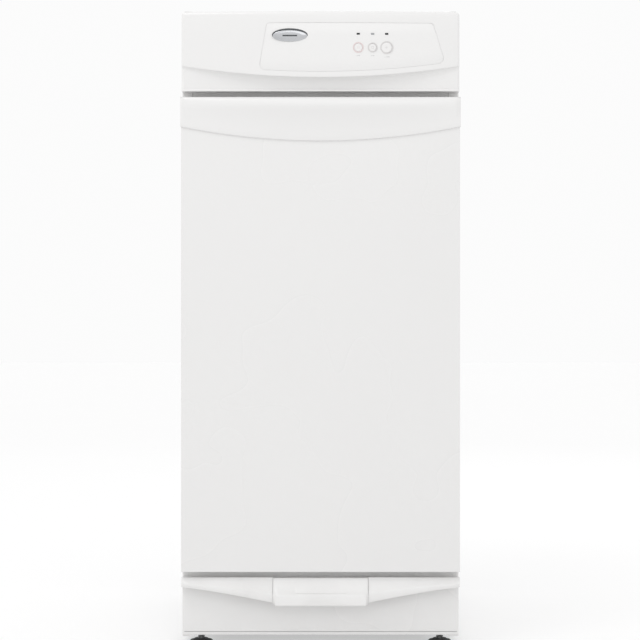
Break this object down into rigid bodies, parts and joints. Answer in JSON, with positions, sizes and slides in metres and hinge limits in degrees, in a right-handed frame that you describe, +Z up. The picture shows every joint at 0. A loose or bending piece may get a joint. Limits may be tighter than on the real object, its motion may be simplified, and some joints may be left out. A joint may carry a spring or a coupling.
{
  "type": "trash compactor",
  "caption": "Undercounter trash compactor: cabinet with a slide-out bin drawer, screw-driven press head, foot pedal and push-button console.",
  "frame": {"origin": "middle of the footprint's bounding box, on the floor", "axes": "+Z up, the drawer front faces -Y, +X to the right of someone facing it"},
  "size_m": [0.382, 0.614, 0.8668],
  "materials": {
    "white_steel": "smooth gloss enamel",
    "white_liner": "satin enamel",
    "white_moulding": "fine satin moulding",
    "control_film": "smooth satin film",
    "button_white": "satin",
    "indicator_dark": "smoked lens",
    "badge_chrome": "polished",
    "galvanised": "zinc coated sheet",
    "rail_paint": "satin paint",
    "bin_paint": "textured paint",
    "ram_paint": "wear resistant paint",
    "machined_steel": "turned and plated",
    "chain_steel": "oiled steel",
    "spring_steel": "spring wire",
    "bronze": "sintered",
    "nylon": "moulded nylon",
    "black_plastic": "moulded",
    "leg_plastic": "moulded foot on a plated stud",
    "motor_paint": "satin",
    "charcoal": "charcoal fleece",
    "circuit_board": "lacquered board",
    "loom": "taped loom"
  },
  "bodies": {
    "cabinet": {"left_side_panel": "white_steel", "right_side_panel": "white_steel", "top_cover": "white_steel", "rear_panel": "galvanised", "toe_panel": "white_steel", "base_frame": "galvanised", "base_hardware": "machined_steel", "lower_frame": "galvanised", "upper_frame": "galvanised", "shaft_bearings": "bronze", "console_bracket": "galvanised", "console_housing": "white_moulding", "control_overlay": "control_film", "badge": "badge_chrome", "indicator_lenses": "indicator_dark", "control_board": "circuit_board", "drawer_tracks": "galvanised", "motor_mount": "galvanised", "motor_housing": "motor_paint", "drawer_catch": "galvanised", "filter_housing": "black_plastic", "charcoal_filter": "charcoal", "fan_motor": "motor_paint", "switches": "black_plastic", "wiring_harness": "loom", "clips_and_cord_gland": "black_plastic", "rear_panel_screws": "machined_steel", "drive_chain": "chain_steel"},
    "drawer": {"drawer_front_panel": "white_steel", "drawer_liner": "white_liner", "drawer_handle": "white_moulding", "drawer_frame": "rail_paint", "container": "bin_paint", "container_pins": "machined_steel", "toe_bar": "white_moulding", "pedal_brackets": "machined_steel", "pedal_spring": "spring_steel", "drawer_screws_and_strike": "machined_steel"},
    "bin_side": {"container_side_panel": "bin_paint"},
    "latch": {"latch_lever": "machined_steel"},
    "pedal": {"foot_pedal": "white_moulding"},
    "front_roller_pair": {"front_rollers": "nylon"},
    "rear_roller_pair": {"rear_rollers": "nylon"},
    "transport_roller_pair": {"transport_rollers": "nylon"},
    "ram": {"ram_plate": "ram_paint", "ram_body": "ram_paint", "ram_crossbeam": "ram_paint", "power_nuts": "bronze", "ram_glides": "nylon"},
    "left_screw": {"left_power_screw": "machined_steel"},
    "right_screw": {"right_power_screw": "machined_steel"},
    "gear": {"drive_gear": "nylon", "drive_sprocket": "machined_steel"},
    "rotor": {"motor_shaft": "machined_steel"},
    "fan": {"fan_impeller": "black_plastic"},
    "button_left": {"left_button": "button_white"},
    "button_middle": {"middle_button": "button_white"},
    "button_right": {"right_button": "button_white"},
    "leg_left": {"left_levelling_leg": "leg_plastic"},
    "leg_right": {"right_levelling_leg": "leg_plastic"}
  },
  "joints": [
    {"name": "drawer_slide", "type": "slide", "parent": "cabinet", "child": "drawer", "axis": [0, -1, 0], "range_m": [0, 0.405]},
    {"name": "bin_side_hinge", "type": "hinge", "parent": "drawer", "child": "bin_side", "pos_m": [0.12, -0.057, 0.122], "axis": [0, 1, 0], "range_deg": [0, 3]},
    {"name": "latch_pivot", "type": "hinge", "parent": "drawer", "child": "latch", "pos_m": [0.09, -0.268, 0.536], "axis": [0, -1, 0], "range_deg": [0, 60]},
    {"name": "pedal_pivot", "type": "hinge", "parent": "drawer", "child": "pedal", "pos_m": [0, -0.245, 0.084], "axis": [1, 0, 0], "range_deg": [0, 10], "stiffness_Nm_per_rad": 1.2, "springref_deg": -8.59, "deforming": ["pedal_spring"]},
    {"name": "front_roller_spin", "type": "hinge", "parent": "cabinet", "child": "front_roller_pair", "pos_m": [0.133, -0.24, 0.0937], "axis": [1, 0, 0], "continuous": true},
    {"name": "rear_roller_spin", "type": "hinge", "parent": "drawer", "child": "rear_roller_pair", "pos_m": [0.143, 0.266, 0.1178], "axis": [1, 0, 0], "continuous": true},
    {"name": "transport_roller_spin", "type": "hinge", "parent": "cabinet", "child": "transport_roller_pair", "pos_m": [0, 0.246, 0.014], "axis": [1, 0, 0], "continuous": true},
    {"name": "ram_slide", "type": "slide", "parent": "cabinet", "child": "ram", "axis": [0, 0, -1], "range_m": [0, 0.235], "deforming": ["drive_chain"]},
    {"name": "left_screw_spin", "type": "hinge", "parent": "cabinet", "child": "left_screw", "pos_m": [-0.16, -0.057, 0.4], "axis": [0, 0, 1], "continuous": true},
    {"name": "right_screw_spin", "type": "hinge", "parent": "cabinet", "child": "right_screw", "pos_m": [0.16, -0.057, 0.4], "axis": [0, 0, 1], "continuous": true},
    {"name": "gear_spin", "type": "hinge", "parent": "cabinet", "child": "gear", "pos_m": [0.03, 0.225, 0.064], "axis": [0, 0, 1], "continuous": true},
    {"name": "motor_spin", "type": "hinge", "parent": "cabinet", "child": "rotor", "pos_m": [-0.042, 0.225, 0.064], "axis": [0, 0, 1], "continuous": true},
    {"name": "fan_spin", "type": "hinge", "parent": "cabinet", "child": "fan", "pos_m": [0, 0.253, 0.71], "axis": [0, 1, 0], "continuous": true},
    {"name": "left_button_press", "type": "slide", "parent": "cabinet", "child": "button_left", "axis": [0, 1, 0], "range_m": [0, 0.0015], "stiffness_N_per_m": 400, "springref_m": -0.001},
    {"name": "middle_button_press", "type": "slide", "parent": "cabinet", "child": "button_middle", "axis": [0, 1, 0], "range_m": [0, 0.0015], "stiffness_N_per_m": 400, "springref_m": -0.001},
    {"name": "right_button_press", "type": "slide", "parent": "cabinet", "child": "button_right", "axis": [0, 1, 0], "range_m": [0, 0.0015], "stiffness_N_per_m": 400, "springref_m": -0.001},
    {"name": "left_leg_turn", "type": "hinge", "parent": "cabinet", "child": "leg_left", "pos_m": [-0.165, -0.242, 0.02], "axis": [0, 0, 1], "continuous": true},
    {"name": "right_leg_turn", "type": "hinge", "parent": "cabinet", "child": "leg_right", "pos_m": [0.165, -0.242, 0.02], "axis": [0, 0, 1], "continuous": true}
  ],
  "couplings": [
    {"joint": "front_roller_spin", "follows": "drawer_slide", "rad_per_m": 100},
    {"joint": "rear_roller_spin", "follows": "drawer_slide", "rad_per_m": 100},
    {"joint": "left_screw_spin", "follows": "ram_slide", "rad_per_m": 785.4},
    {"joint": "right_screw_spin", "follows": "ram_slide", "rad_per_m": 785.4},
    {"joint": "gear_spin", "follows": "ram_slide", "rad_per_m": 785.4},
    {"joint": "motor_spin", "follows": "ram_slide", "rad_per_m": -3927}
  ]
}
